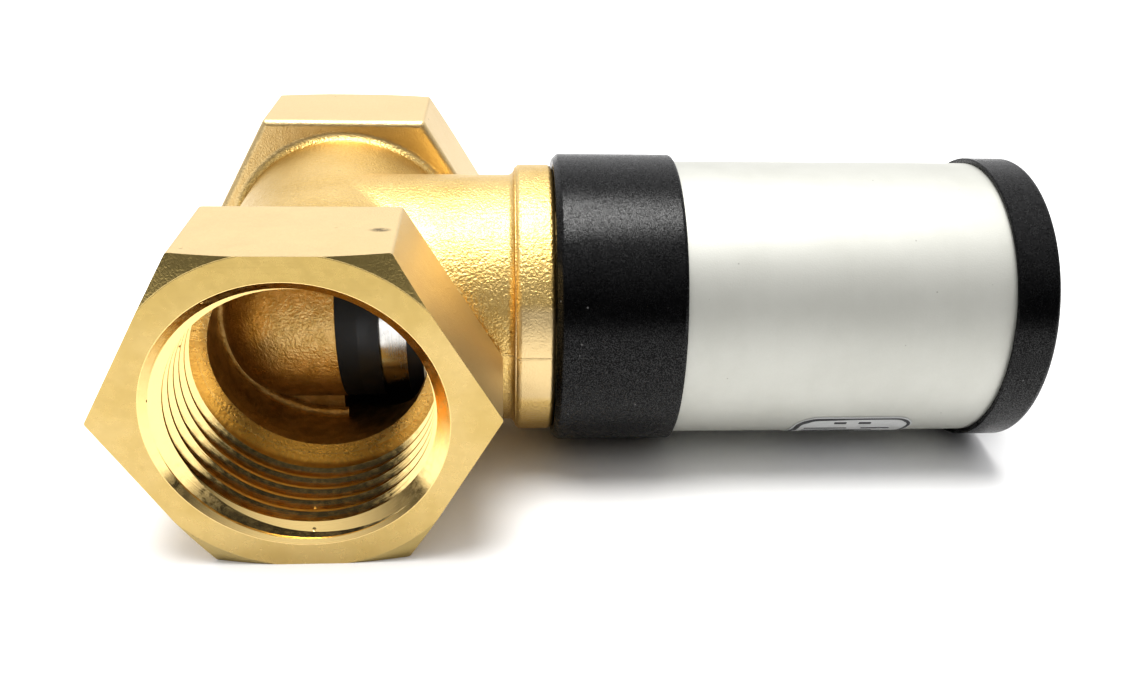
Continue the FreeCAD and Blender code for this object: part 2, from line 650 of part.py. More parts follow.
def armature():
    """The iron plunger: foot, neck, slotted body and a bore for its spring."""
    shape = turned([
        (FOOT_X, 0), (FOOT_X, FOOT_R), (FOOT_END_X, FOOT_R), (FOOT_END_X, NECK_R),
        (ARMATURE_X, NECK_R), (ARMATURE_X, ARMATURE_R), (ARMATURE_END_X, ARMATURE_R), (ARMATURE_END_X, 0),
    ])
    cutters = [
        along_x(PILOT_SEAL_R + FIT, FOOT_X - SEAM, PILOT_SEAL_X + PILOT_SEAL_THICKNESS),
        along_x(ARMATURE_SPRING_R + 2 * ARMATURE_SPRING_WIRE_R, ARMATURE_END_X - ARMATURE_SPRING_BORE,
                ARMATURE_END_X + SEAM),
    ]
    for side in (-1, 1):
        middle = side * ARMATURE_R
        corner = Vector(ARMATURE_X - SEAM, middle - ARMATURE_SLOT_DEPTH, -ARMATURE_SLOT_WIDTH / 2)
        cutters.append(Part.makeBox(ARMATURE_LENGTH + 2 * SEAM, 2 * ARMATURE_SLOT_DEPTH, ARMATURE_SLOT_WIDTH, corner))
    return cut_all(shape, cutters)


def pilot_seal():
    """The rubber pad in the armature's foot."""
    return along_x(PILOT_SEAL_R, PILOT_SEAL_X, PILOT_SEAL_X + PILOT_SEAL_THICKNESS)


def armature_spring():
    """The spring that closes the pilot."""
    seat = ARMATURE_END_X - ARMATURE_SPRING_BORE
    return coil_spring(ARMATURE_SPRING_R, ARMATURE_SPRING_WIRE_R, ARMATURE_SPRING_TURNS, seat, CORE_FACE_X)


def core_tube():
    """The thin tube that the armature runs in."""
    return tube_x(CORE_TUBE_BORE_R, CORE_TUBE_R, RECESS_END_X, CORE_END_X)


def fixed_core():
    """The plug that closes the core tube, with the stud that holds the coil."""
    return fuse_all([
        along_x(CORE_TUBE_BORE_R - FIT, CORE_FACE_X, CORE_END_X + SEAM / 2),
        along_x(CORE_TUBE_R, CORE_END_X, WASHER_X - SEAT_GAP),
        along_x(STUD_R, WASHER_X - SEAM, STUD_END_X),
    ])


# ---- coil ----

def lead_holes(x0, x1):
    """The holes that the two coil leads pass through."""
    return [along_x(LEAD_HOLE_R, x0 - SEAM, x1 + SEAM, side * LEAD_SPREAD, LEAD_RADIUS) for side in (-1, 1)]


def front_pole_washer():
    """The iron washer at the front of the coil."""
    return tube_x(COIL_BORE_R, POLE_R, COIL_X, BOBBIN_X)


def rear_pole_washer():
    """The iron washer at the back of the coil, with holes for the leads."""
    return cut_all(tube_x(COIL_BORE_R, POLE_R, BOBBIN_END_X, POLE_END_X), lead_holes(BOBBIN_END_X, POLE_END_X))


def coil_bobbin():
    """The plastic spool."""
    spool = fuse_all([
        along_x(BOBBIN_TUBE_R, BOBBIN_X, BOBBIN_END_X),
        along_x(BOBBIN_FLANGE_R, BOBBIN_X, WINDING_X),
        along_x(BOBBIN_FLANGE_R, WINDING_END_X, BOBBIN_END_X),
    ]).cut(along_x(COIL_BORE_R, BOBBIN_X - SEAM, BOBBIN_END_X + SEAM))
    return cut_all(spool, lead_holes(WINDING_END_X, BOBBIN_END_X))


def coil_winding():
    """The copper winding, as one solid of its outer shape."""
    return tube_x(BOBBIN_TUBE_R + FIT, WINDING_R, WINDING_X + FIT, WINDING_END_X - FIT)


def winding_tape():
    """The tape round the winding."""
    inner = WINDING_R + FIT
    return tube_x(inner, inner + TAPE_THICKNESS, WINDING_X + FIT, WINDING_END_X - FIT)


def coil_yoke():
    """The iron sleeve that joins the two pole washers."""
    return tube_x(POLE_R - YOKE_WALL, POLE_R, BOBBIN_X, BOBBIN_END_X)


def disc_spring():
    """The conical spring washer that takes up the coil's end play."""
    inner = CORE_TUBE_R + POLE_CLEARANCE
    outer = WASHER_R - DISC_SPRING_SETBACK
    return turned([
        (POLE_END_X, outer), (POLE_END_X + DISC_SPRING_THICKNESS, outer),
        (WASHER_X, inner), (WASHER_X - DISC_SPRING_THICKNESS, inner),
    ])


def clamp_washer():
    """The washer under the nut."""
    return tube_x(STUD_R + 2 * FIT, WASHER_R, WASHER_X, NUT_X)


def retaining_nut():
    """The nut on the core's stud."""
    nut = hexagon(NUT_FLATS, NUT_LENGTH, Vector(NUT_X, 0, 0), Vector(1, 0, 0))
    return nut.cut(along_x(STUD_R + FIT, NUT_X - SEAM, NUT_END_X + SEAM))


def lead_wires():
    """The two insulated leads, from the winding over the nut to the inlet's pins."""
    leads = []
    for side in (-1, 1):
        start = Vector(WINDING_END_X, side * LEAD_SPREAD, LEAD_RADIUS)
        top = Vector(LEAD_X, side * LEAD_SPREAD, LEAD_RADIUS)
        foot = Vector(LEAD_X, side * PIN_OFFSET, PIN_OFFSET)
        end = Vector(PIN_X, side * PIN_OFFSET, PIN_OFFSET)
        path = rounded_path([start, top, foot, end], [LEAD_BEND_R, LEAD_END_BEND_R])
        section = Part.Wire([Part.makeCircle(LEAD_R, start, Vector(1, 0, 0))])
        lead = path.makePipeShell([section], True, True)
        wanted = math.pi * LEAD_R ** 2 * path.Length
        print("lead volume over section times length:", round(lead.Volume / wanted, 4))
        leads.append(lead)
    return Part.makeCompound(leads)


def rounded_path(points, radii):
    """Straight runs through the points, joined by a tangent arc of the given radius at each bend."""
    edges = []
    here = points[0]
    for before, corner, after, radius in zip(points, points[1:], points[2:], radii):
        back = (before - corner).normalize()
        on = (after - corner).normalize()
        half_angle = back.getAngle(on) / 2
        reach = radius / math.tan(half_angle)
        first = corner + back * reach
        last = corner + on * reach
        bisector = (back + on).normalize()
        middle = corner + bisector * (radius / math.sin(half_angle) - radius)
        edges.append(Part.makeLine(here, first))
        edges.append(Part.Arc(first, middle, last).toShape())
        here = last
    edges.append(Part.makeLine(here, points[-1]))
    return Part.Wire(edges)


# ---- housing ----

def housing_ring():
    """The black ring between the brass collar and the tube."""
    outside = turned([
        (RING_X, BONNET_FLANGE_R), (RING_X, RING_R - RING_BEVEL), (RING_X + RING_BEVEL, RING_R),
        (RING_END_X, RING_R), (RING_END_X, BONNET_FLANGE_R),
    ])
    outside = outside.fuse(along_x(BONNET_FLANGE_R + SEAM, RING_X, RING_END_X)).removeSplitter()
    rims = []
    for edge in outside.Edges:
        round_rim = isinstance(edge.Curve, Part.Circle) and edge.Curve.Radius > RING_R - 0.01
        if round_rim:
            rims.append(edge)
    outside = outside.makeFillet(RING_ROUND, rims)
    return cut_all(outside, [
        along_x(BONNET_FLANGE_R + RUNNING_GAP, RING_X - SEAM, COIL_X),
        along_x(TUBE_R + FIT, COIL_X, RING_END_X + SEAM),
    ])


def housing_tube():
    """The aluminium tube round the coil, held between the ring and the end cap."""
    return tube_x(TUBE_BORE_R, TUBE_R, COIL_X, TUBE_END_X)


def end_cap():
    """The black cap: a skirt over the tube, a spigot in it, and a pocket for the power inlet."""
    disc = along_x(CAP_R, CAP_X, CAP_END_X)
    front_rim = []
    back_rim = []
    for edge in disc.Edges:
        if isinstance(edge.Curve, Part.Circle):
            rim = back_rim if edge.Curve.Center.x < CAP_X + SEAM else front_rim
            rim.append(edge)
    disc = disc.makeFillet(CAP_ROUND, front_rim)
    bevel = turned([
        (CAP_X - SEAM, CAP_R - CAP_RIM_BEVEL - SEAM), (CAP_X - SEAM, CAP_R + SEAM),
        (CAP_X + CAP_RIM_BEVEL + SEAM, CAP_R + SEAM),
    ])
    disc = disc.cut(bevel).cut(along_x(TUBE_R + FIT, CAP_X - SEAM, TUBE_END_X))
    cup_r = INLET_POCKET_R + INLET_POCKET_WALL
    shape = fuse_all([
        disc,
        tube_x(SPIGOT_R - CAP_SPIGOT_WALL, SPIGOT_R, SPIGOT_X, TUBE_END_X + SEAM),
        along_x(cup_r, FLOOR_X, TUBE_END_X + SEAM),
    ])
    return cut_all(shape, [
        along_x(INLET_POCKET_R, POCKET_X, CAP_END_X + SEAM),
        along_x(INLET_R + FIT, FLOOR_X - SEAM, POCKET_X + SEAM),
        tube_x(cup_r, CAP_R - CAP_RIM_WIDTH, CAP_END_X - CAP_DISH, CAP_END_X + SEAM),
        groove_cutter(CAP_GROOVE_R, CAP_GROOVE_X),
    ])


def rating_plate():
    """The thin plate with rounded corners on the lower side of the tube."""
    inner = TUBE_R + PLATE_LIFT
    outer = inner + PLATE_THICKNESS
    shell = tube_x(inner, outer, PLATE_X - PLATE_LENGTH, PLATE_X + PLATE_LENGTH)
    half_height = TUBE_R * math.sin(PLATE_HEIGHT / 2 / TUBE_R)
    block = Part.makeBox(PLATE_LENGTH, 2 * half_height, TUBE_R,
                         Vector(PLATE_X - PLATE_LENGTH / 2, -half_height, SEAM))
    upright = [edge for edge in block.Edges if edge.BoundBox.ZLength > TUBE_R / 2]
    block = block.makeFillet(PLATE_CORNER, upright)
    block.translate(Vector(0, 0, 2))
    block.rotate(Vector(0, 0, 0), Vector(1, 0, 0), 90 + PLATE_ANGLE)
    return shell.common(block)


# ---- power inlet ----

def inlet_shell():
    """The threaded barrel of the inlet, with a flange in the cap's pocket and a coding key."""
    shape = turned([
        (INLET_TAIL_X, INLET_BORE_R), (INLET_TAIL_X, INLET_R), (INLET_FLANGE_X, INLET_R),
        (INLET_FLANGE_X, INLET_FLANGE_R), (INLET_FLANGE_END_X, INLET_FLANGE_R),
        (INLET_FLANGE_END_X, INLET_R), (INLET_END_X - INLET_CHAMFER, INLET_R),
        (INLET_END_X, INLET_R - INLET_CHAMFER), (INLET_END_X, INLET_BORE_R),
    ])
    key = Part.makeBox(PIN_END_X - INSULATOR_END_X, KEY_WIDTH, 2 * KEY_HEIGHT,
                       Vector(INSULATOR_END_X, -KEY_WIDTH / 2, INLET_BORE_R - KEY_HEIGHT))
    return fuse_all([shape, key.common(along_x(INLET_BORE_R + INLET_WALL / 2, CAP_X, INLET_END_X))])


def inlet_insulator():
    """The block that holds the pins."""
    block = along_x(INLET_BORE_R - FIT, PIN_X, INSULATOR_END_X)
    return cut_all(block, [along_x(PIN_R + FIT, PIN_X - SEAM, INSULATOR_END_X + SEAM, y, z) for y, z in pin_places()])


def pin_places():
    """The (y, z) place of each pin."""
    places = []
    for number in range(PIN_COUNT):
        angle = 2 * math.pi * (number + 0.5) / PIN_COUNT
        places.append((PIN_CIRCLE_R * math.cos(angle), PIN_CIRCLE_R * math.sin(angle)))
    return places


def inlet_pins():
    """The contacts, with domed ends."""
    pins = []
    for y, z in pin_places():
        straight = along_x(PIN_R, PIN_X, PIN_END_X - PIN_R, y, z)
        dome = Part.makeSphere(PIN_R, Vector(PIN_END_X - PIN_R, y, z))
        pins.append(fuse_all([straight, dome]))
    return Part.makeCompound(pins)


def inlet_gasket():
    """The flat seal under the inlet's flange."""
    return tube_x(INLET_R + FIT, INLET_FLANGE_R, POCKET_X, INLET_FLANGE_X)


def inlet_locknut():
    """The thin nut that holds the inlet from inside the cap."""
    nut = hexagon(LOCKNUT_FLATS, LOCKNUT_LENGTH, Vector(LOCKNUT_X, 0, 0), Vector(1, 0, 0))
    return nut.cut(along_x(INLET_R + FIT, LOCKNUT_X - SEAM, FLOOR_X + SEAM))


def bonnet_o_ring():
    """The seal between bonnet and body."""
    return o_ring(SPIGOT_GROOVE_R, SPIGOT_GROOVE_X)


def front_tube_seal():
    """The seal between bonnet and housing ring."""
    return o_ring(FLANGE_GROOVE_R, FLANGE_GROOVE_X)


def rear_tube_seal():
    """The seal between end cap and tube."""
    return o_ring(CAP_GROOVE_R, CAP_GROOVE_X)


PIECES = [
    valve_body, guide_sleeve, bonnet, bonnet_o_ring,
    main_seal, seal_holder, seal_retainer, clamp_ring, piston_body, piston_ring, pilot_seat,
    lifting_cage, piston_spring,
    armature, pilot_seal, armature_spring, core_tube, fixed_core,
    front_pole_washer, rear_pole_washer, coil_bobbin, coil_winding, winding_tape, coil_yoke,
    disc_spring, clamp_washer, retaining_nut, lead_wires,
    housing_ring, housing_tube, front_tube_seal, rear_tube_seal, end_cap, rating_plate,
    inlet_shell, inlet_insulator, inlet_pins, inlet_gasket, inlet_locknut,
]

os.makedirs("parts", exist_ok=True)
for piece in PIECES:
    shape = piece()
    shape.translate(Vector(0, HALF - MOUTH_CHAMFER, 0))
    shape.exportStep(os.path.join("parts", piece.__name__ + ".step"))
    print(piece.__name__, "solids", len(shape.Solids), "valid", shape.isValid(), "volume", round(shape.Volume, 1))
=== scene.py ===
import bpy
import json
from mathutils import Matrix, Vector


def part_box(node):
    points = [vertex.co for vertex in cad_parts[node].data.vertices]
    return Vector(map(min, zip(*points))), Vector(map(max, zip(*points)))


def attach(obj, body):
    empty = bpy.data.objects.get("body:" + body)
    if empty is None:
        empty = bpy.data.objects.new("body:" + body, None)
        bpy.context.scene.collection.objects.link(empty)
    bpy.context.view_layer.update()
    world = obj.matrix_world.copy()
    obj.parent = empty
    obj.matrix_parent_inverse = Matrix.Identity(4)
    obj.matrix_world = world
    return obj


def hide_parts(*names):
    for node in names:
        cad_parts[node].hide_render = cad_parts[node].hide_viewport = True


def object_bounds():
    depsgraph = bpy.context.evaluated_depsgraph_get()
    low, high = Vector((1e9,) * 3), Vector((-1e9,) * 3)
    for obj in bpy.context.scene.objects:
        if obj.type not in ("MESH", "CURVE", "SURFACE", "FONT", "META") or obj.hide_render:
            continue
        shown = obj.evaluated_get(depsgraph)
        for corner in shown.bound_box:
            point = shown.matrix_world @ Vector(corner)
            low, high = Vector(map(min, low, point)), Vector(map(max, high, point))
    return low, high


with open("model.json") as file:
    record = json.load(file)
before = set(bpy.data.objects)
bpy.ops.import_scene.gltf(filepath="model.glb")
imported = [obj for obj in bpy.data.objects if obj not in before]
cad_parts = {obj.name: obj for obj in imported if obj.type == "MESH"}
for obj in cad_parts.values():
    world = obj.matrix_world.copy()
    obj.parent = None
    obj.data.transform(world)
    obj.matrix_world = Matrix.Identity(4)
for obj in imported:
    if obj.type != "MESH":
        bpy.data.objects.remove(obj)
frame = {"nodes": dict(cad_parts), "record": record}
CAD_LOW, CAD_HIGH = [list(corner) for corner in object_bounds()]

import json
import math
import bpy
from mathutils import Matrix, Vector

NODES = frame["nodes"]
MM = 0.001


# ---- places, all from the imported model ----

def middle(node, axis):
    """The middle of a node's box along one axis."""
    low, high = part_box(node)
    return (low[axis] + high[axis]) / 2


AXIS_Y = middle("housing_tube", 1)                 # the solenoid's axis runs along X at this Y and Z = 0
AXIS_Z = middle("housing_tube", 2)
BODY_LOW, BODY_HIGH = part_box("valve_body")
HALF = (BODY_HIGH[1] - BODY_LOW[1]) / 2
FLOOR_Z = CAD_LOW[2]
TUBE_R = (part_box("housing_tube")[1][2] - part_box("housing_tube")[0][2]) / 2
CHAMBER_R = (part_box("guide_sleeve")[1][2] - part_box("guide_sleeve")[0][2]) / 2
MOUNTS = {mount["name"]: mount for mount in frame["record"]["mounts"]}
POWER_INLET = MOUNTS["power_inlet"]
PORT_R = MOUNTS["inlet_port"]["dims"]["r_mm"] * MM
PORT_DEPTH = 16.4 * MM                             # from the end face to where the machined bore stops
FACE_SKIN = 0.03 * MM                              # how deep under the end faces their finish reaches
CORNER_R = PORT_R + 5.1 * MM                       # the corners faced at a slant lie outside this radius
CORNER_DEPTH = 1.12 * MM
HEXAGON_R = 17.9 * MM                              # outside this radius the barrel becomes a hexagon
HEXAGON_START = 17.2 * MM
SMUDGE_X, SMUDGE_Y = 9.7 * MM, 5.6 * MM            # a stain on the inlet hexagon's upper flat
SMUDGE_LONG, SMUDGE_WIDE = 1.5 * MM, 0.8 * MM
SMUDGE_Z = 19.5 * MM


# ---- shader helpers ----

class Finish:
    """A material under construction: its helpers pass sockets on, and set plain numbers on sockets."""

    def __init__(self, name):
        self.material = bpy.data.materials.new(name)
        self.material.use_nodes = True
        self.tree = self.material.node_tree
        self.shader = self.tree.nodes["Principled BSDF"]
        place = self.tree.nodes.new("ShaderNodeTexCoord")
        self.place = place.outputs["Object"]
        apart = self.tree.nodes.new("ShaderNodeSeparateXYZ")
        self.tree.links.new(self.place, apart.inputs[0])
        self.x, self.y, self.z = apart.outputs
        self.outward = place.outputs["Normal"]

    def feed(self, socket, value):
        """Links a socket to another, or sets a plain number or colour on it."""
        if isinstance(value, bpy.types.NodeSocket):
            self.tree.links.new(value, socket)
        else:
            socket.default_value = value

    def math(self, operation, a, b=0.0):
        node = self.tree.nodes.new("ShaderNodeMath")
        node.operation = operation
        self.feed(node.inputs[0], a)
        if len(node.inputs) > 1:
            self.feed(node.inputs[1], b)
        return node.outputs[0]

    def noise(self, size, detail=3.0, roughness=0.55, stretch=(1, 1, 1), warp=0.0):
        """Noise whose blobs are about size metres across, stretched along the axes."""
        scaled = self.tree.nodes.new("ShaderNodeMapping")
        self.feed(scaled.inputs["Vector"], self.place)
        scaled.inputs["Scale"].default_value = [1 / (size * s) for s in stretch]
        node = self.tree.nodes.new("ShaderNodeTexNoise")
        self.feed(node.inputs["Vector"], scaled.outputs[0])
        node.inputs["Scale"].default_value = 1.0
        node.inputs["Detail"].default_value = detail
        node.inputs["Roughness"].default_value = roughness
        node.inputs["Distortion"].default_value = warp
        return node.outputs[0]

    def cells(self, size):
        """The distance to the nearest of scattered points about size metres apart."""
        scaled = self.tree.nodes.new("ShaderNodeMapping")
        self.feed(scaled.inputs["Vector"], self.place)
        scaled.inputs["Scale"].default_value = [1 / size] * 3
        node = self.tree.nodes.new("ShaderNodeTexVoronoi")
        self.feed(node.inputs["Vector"], scaled.outputs[0])
        node.inputs["Scale"].default_value = 1.0
        return node.outputs[0]

    def lines(self, along, size, detail=2.0):
        """Fine parallel lines: noise that changes only with the given socket."""
        node = self.tree.nodes.new("ShaderNodeTexNoise")
        node.noise_dimensions = "1D"
        self.feed(node.inputs["W"], self.math("DIVIDE", along, size))
        node.inputs["Scale"].default_value = 1.0
        node.inputs["Detail"].default_value = detail
        return node.outputs[0]

    def remap(self, value, low, high, to_low=0.0, to_high=1.0):
        """A smooth step from to_low, at low and under, to to_high, at high and over."""
        node = self.tree.nodes.new("ShaderNodeMapRange")
        node.interpolation_type = "SMOOTHSTEP"
        for socket, given in zip(node.inputs, (value, low, high, to_low, to_high)):
            self.feed(socket, given)
        return node.outputs[0]

    def above(self, value, edge, soft=0.05 * MM):
        """A mask that is 1 where the value is over the edge."""
        return self.remap(value, edge - soft, edge + soft)

    def below(self, value, edge, soft=0.05 * MM):
        """A mask that is 1 where the value is under the edge."""
        return self.remap(value, edge - soft, edge + soft, 1.0, 0.0)

    def both(self, *masks):
        """A mask that is 1 only where every given one is."""
        result = masks[0]
        for mask in masks[1:]:
            result = self.math("MULTIPLY", result, mask)
        return result

    def either(self, *masks):
        """A mask that is 1 where any given one is."""
        result = masks[0]
        for mask in masks[1:]:
            result = self.math("MAXIMUM", result, mask)
        return result

    def distance(self, a, b):
        squares = [self.math("MULTIPLY", side, side) for side in (a, b)]
        return self.math("SQRT", self.math("ADD", *squares))

    def blend(self, factor, first, second):
        """first where the factor is 0 and second where it is 1; colours or numbers."""
        colours = not isinstance(first, float) and not (
            isinstance(first, bpy.types.NodeSocket) and first.type == "VALUE")
        node = self.tree.nodes.new("ShaderNodeMix")
        node.data_type = "RGBA" if colours else "FLOAT"
        start = 6 if colours else 2
        self.feed(node.inputs[0], factor)
        for socket, value in zip((node.inputs[start], node.inputs[start + 1]), (first, second)):
            if colours and not isinstance(value, bpy.types.NodeSocket):
                value = (*value, 1.0)
            self.feed(socket, value)
        return node.outputs[2 if colours else 0]

    def bump(self, height, depth, normal=None):
        """A bump of the given depth in metres for a height from 0 to 1."""
        node = self.tree.nodes.new("ShaderNodeBump")
        node.inputs["Strength"].default_value = 1.0
        node.inputs["Distance"].default_value = 1.0
        self.feed(node.inputs["Height"], self.math("MULTIPLY", height, depth))
        if normal is not None:
            self.feed(node.inputs["Normal"], normal)
        return node.outputs[0]

    def done(self, colour, metallic, roughness, normal, **others):
        """Feeds the shader and gives back the material."""
        if not isinstance(colour, bpy.types.NodeSocket):
            colour = (*colour, 1.0)
        self.feed(self.shader.inputs["Base Color"], colour)
        self.feed(self.shader.inputs["Metallic"], metallic)
        self.feed(self.shader.inputs["Roughness"], roughness)
        self.feed(self.shader.inputs["Normal"], normal)
        for name, value in others.items():
            self.feed(self.shader.inputs[name.replace("_", " ")], value)
        return self.material


def cast_brass():
    """Sand-blasted castings with machined ports, as one material that reads where it is."""
    f = Finish("cast_brass")
    yc = f.math("SUBTRACT", f.y, AXIS_Y)
    along = f.math("ABSOLUTE", yc)
    rho = f.distance(f.x, f.z)
    about_x = f.distance(yc, f.z)
    facing = f.tree.nodes.new("ShaderNodeSeparateXYZ")
    f.tree.links.new(f.outward, facing.inputs[0])
    facing_y = f.math("ABSOLUTE", facing.outputs["Y"])
    machined_bore = f.both(f.below(rho, PORT_R + 2.0 * MM), f.above(along, HALF - PORT_DEPTH))
    end_face = f.above(along, HALF - FACE_SKIN, 0.02 * MM)
    faced_corner = f.both(f.above(rho, CORNER_R), f.above(along, HALF - CORNER_DEPTH),
                          f.below(along, HALF - FACE_SKIN, 0.02 * MM), f.above(facing_y, 0.5, 0.1))
    behind_thread = f.below(along, HALF - PORT_DEPTH)
    inside = f.either(
        f.both(f.below(rho, PORT_R + 0.05 * MM), behind_thread),
        f.both(f.above(f.x, 0.0), f.below(about_x, CHAMBER_R + 0.3 * MM), behind_thread))
    hexagon = f.both(f.above(rho, HEXAGON_R, 0.4 * MM), f.above(along, HEXAGON_START, 0.3 * MM))
    machined = f.either(machined_bore, end_face)

    # colour
    cloud = f.noise(9 * MM, 4.0)
    grain_tone = f.noise(0.45 * MM, 2.0)
    cast = f.blend(f.remap(cloud, 0.35, 0.7), (0.70, 0.50, 0.195), (0.63, 0.43, 0.140))
    cast = f.blend(f.remap(grain_tone, 0.35, 0.65, 0.0, 0.35), cast, (0.80, 0.60, 0.27))
    cast = f.blend(f.math("MULTIPLY", hexagon, 0.75), cast, (0.73, 0.575, 0.335))
    turned = f.blend(f.remap(f.noise(7 * MM, 3.0), 0.35, 0.7), (0.54, 0.40, 0.17), (0.49, 0.355, 0.135))
    # painted shade: the turned end face gets darker towards its top, from Z 6 to 19 mm, for the dimmer
    # reflection it shows there
    turned = f.blend(f.remap(f.z, 6 * MM, 19 * MM, 0.0, 0.75), turned, (0.40, 0.29, 0.10))
    corner = (0.46, 0.35, 0.14)
    # the cast's own brass tone inside the ports and the chamber, made darker and browner: painted shade of
    # these hollows
    inside_brass_and_shade = f.blend(f.remap(f.noise(1.6 * MM, 4.0), 0.35, 0.65), (0.72, 0.50, 0.21), (0.56, 0.37, 0.13))
    thread = (0.94, 0.69, 0.30)
    colour = f.blend(inside, cast, inside_brass_and_shade)
    colour = f.blend(end_face, colour, turned)
    colour = f.blend(faced_corner, colour, corner)
    colour = f.blend(machined_bore, colour, thread)
    # small dark pits and the stains that handling leaves
    pits = f.below(f.cells(4.2 * MM), 0.045, 0.02)
    colour = f.blend(f.math("MULTIPLY", pits, 0.5), colour, (0.24, 0.16, 0.06))
    smudge_x = f.math("DIVIDE", f.math("SUBTRACT", f.x, SMUDGE_X), SMUDGE_LONG)
    smudge_y = f.math("DIVIDE", f.math("SUBTRACT", f.y, SMUDGE_Y), SMUDGE_WIDE)
    smudge = f.both(f.remap(f.distance(smudge_x, smudge_y), 0.25, 1.0, 1.0, 0.0),
                    f.above(f.z, SMUDGE_Z), f.remap(f.noise(0.5 * MM, 3.0), 0.30, 0.50))
    colour = f.blend(f.math("MULTIPLY", smudge, 0.9), colour, (0.16, 0.12, 0.06))

    # relief: blasted grain, coarser on the branch, a cast seam, and turned lines in the ports
    coarse = f.noise(0.36 * MM, 2.0, 0.6)
    fine = f.noise(0.26 * MM, 2.0, 0.5)
    waves = f.noise(4.0 * MM, 2.0)
    grain = f.blend(hexagon, coarse, fine)
    grain_depth = f.blend(hexagon, 0.150 * MM, 0.050 * MM)
    grain_depth = f.blend(inside, grain_depth, 0.17 * MM)
    grain_depth = f.blend(machined, grain_depth, 0.0)
    seam = f.both(f.below(f.math("ABSOLUTE", f.z), 0.12 * MM, 0.16 * MM), f.above(f.x, 10 * MM),
                  f.math("SUBTRACT", 1.0, machined), f.math("SUBTRACT", 1.0, inside))
    rings = f.lines(rho, 0.11 * MM)
    tool = f.lines(f.y, 0.10 * MM)
    scratch = f.remap(f.noise(0.5 * MM, 2.0, 0.5, (9, 9, 0.6), 0.4), 0.60, 0.66)
    height = f.math("MULTIPLY", grain, grain_depth)
    height = f.math("ADD", height, f.math("MULTIPLY", waves, f.blend(machined, 0.10 * MM, 0.0)))
    height = f.math("ADD", height, f.math("MULTIPLY", seam, 0.06 * MM))
    height = f.math("ADD", height, f.math("MULTIPLY", f.both(rings, end_face), 0.0035 * MM))
    height = f.math("ADD", height, f.math("MULTIPLY", f.both(tool, machined_bore), 0.006 * MM))
    height = f.math("SUBTRACT", height, f.math("MULTIPLY", f.both(scratch, end_face), 0.004 * MM))
    height = f.math("SUBTRACT", height, f.math("MULTIPLY", pits, 0.05 * MM))
    normal = f.bump(height, 1.0)

    rough = f.blend(hexagon, 0.36, 0.42)
    rough = f.blend(inside, rough, 0.40)
    rough = f.blend(end_face, rough, f.remap(f.noise(1.2 * MM, 4.0), 0.3, 0.7, 0.24, 0.38))
    rough = f.blend(faced_corner, rough, 0.33)
    rough = f.blend(machined_bore, rough, f.remap(f.noise(0.8 * MM, 3.0), 0.3, 0.7, 0.12, 0.24))
    return f.done(colour, 1.0, rough, normal)


def coated_black():
    """A fine textured black coating with specks of dust in it."""
    f = Finish("coated_black")
    peel = f.noise(0.13 * MM, 1.5, 0.5)
    soft = f.noise(3.0 * MM, 3.0)
    dust = f.below(f.cells(2.6 * MM), 0.05, 0.02)
    colour = f.blend(f.remap(soft, 0.35, 0.7), (0.0008, 0.0008, 0.0010), (0.0018, 0.0018, 0.0020))
    colour = f.blend(f.math("MULTIPLY", dust, 0.5), colour, (0.20, 0.20, 0.20))
    rough = f.remap(f.noise(1.0 * MM, 3.0), 0.3, 0.7, 0.24, 0.29)
    normal = f.bump(peel, 0.009 * MM)
    normal = f.bump(soft, 0.008 * MM, normal)
    sparkle = f.remap(f.noise(0.12 * MM, 0.0), 0.40, 0.68, 0.10, 0.46)
    return f.done(colour, 0.0, rough, normal, Specular_IOR_Level=sparkle)


def satin_aluminium():
    """A satin tube, with faint lines and bands round it, a fine grain and small specks."""
    f = Finish("satin_aluminium")
    lines = f.lines(f.x, 0.16 * MM, 3.0)
    bands = f.lines(f.x, 2.2 * MM, 2.0)
    grain = f.noise(0.20 * MM, 2.0, 0.6)
    cloud = f.noise(8 * MM, 4.0)
    specks = f.below(f.cells(3.4 * MM), 0.030, 0.015)
    colour = f.blend(f.remap(cloud, 0.35, 0.7), (0.53, 0.53, 0.49), (0.50, 0.50, 0.46))
    colour = f.blend(f.remap(bands, 0.35, 0.65, 0.0, 0.015), colour, (0.72, 0.72, 0.68))
    colour = f.blend(f.math("MULTIPLY", specks, 0.7), colour, (0.25, 0.24, 0.22))
    rough = f.math("ADD", f.remap(lines, 0.3, 0.7, 0.540, 0.545), f.remap(grain, 0.3, 0.7, -0.02, 0.03))
    normal = f.bump(lines, 0.0001 * MM)
    normal = f.bump(grain, 0.0160 * MM, normal)
    return f.done(colour, 0.72, rough, normal)


def metal(name, colour, dark, roughness):
    """Turned, drawn or plated metal with fine lines and faint stains."""
    f = Finish(name)
    depth = 0.003 * MM
    lines = f.lines(f.x, 0.12 * MM)
    stain = f.noise(2.4 * MM, 4.0)
    tone = f.blend(f.remap(stain, 0.4, 0.7), colour, dark)
    rough = f.math("ADD", f.remap(stain, 0.3, 0.7, roughness - 0.05, roughness + 0.08),
                   f.remap(lines, 0.3, 0.7, -0.03, 0.03))
    normal = f.bump(lines, depth)
    normal = f.bump(f.noise(0.25 * MM, 2.0), depth, normal)
    return f.done(tone, 1.0, rough, normal)


def moulded(name, colour, worn, roughness, grain=0.30 * MM, depth=0.008 * MM):
    """Moulded plastic or rubber: a matt grain, faint flow marks and rubbed places."""
    f = Finish(name)
    flow = f.noise(3.0 * MM, 4.0, 0.5, (1, 1, 1), 0.6)
    tone = f.blend(f.remap(flow, 0.45, 0.75), colour, worn)
    rough = f.remap(flow, 0.3, 0.7, roughness - 0.06, roughness + 0.08)
    normal = f.bump(f.noise(grain, 2.0), depth)
    normal = f.bump(flow, 2 * depth, normal)
    return f.done(tone, 0.0, rough, normal)


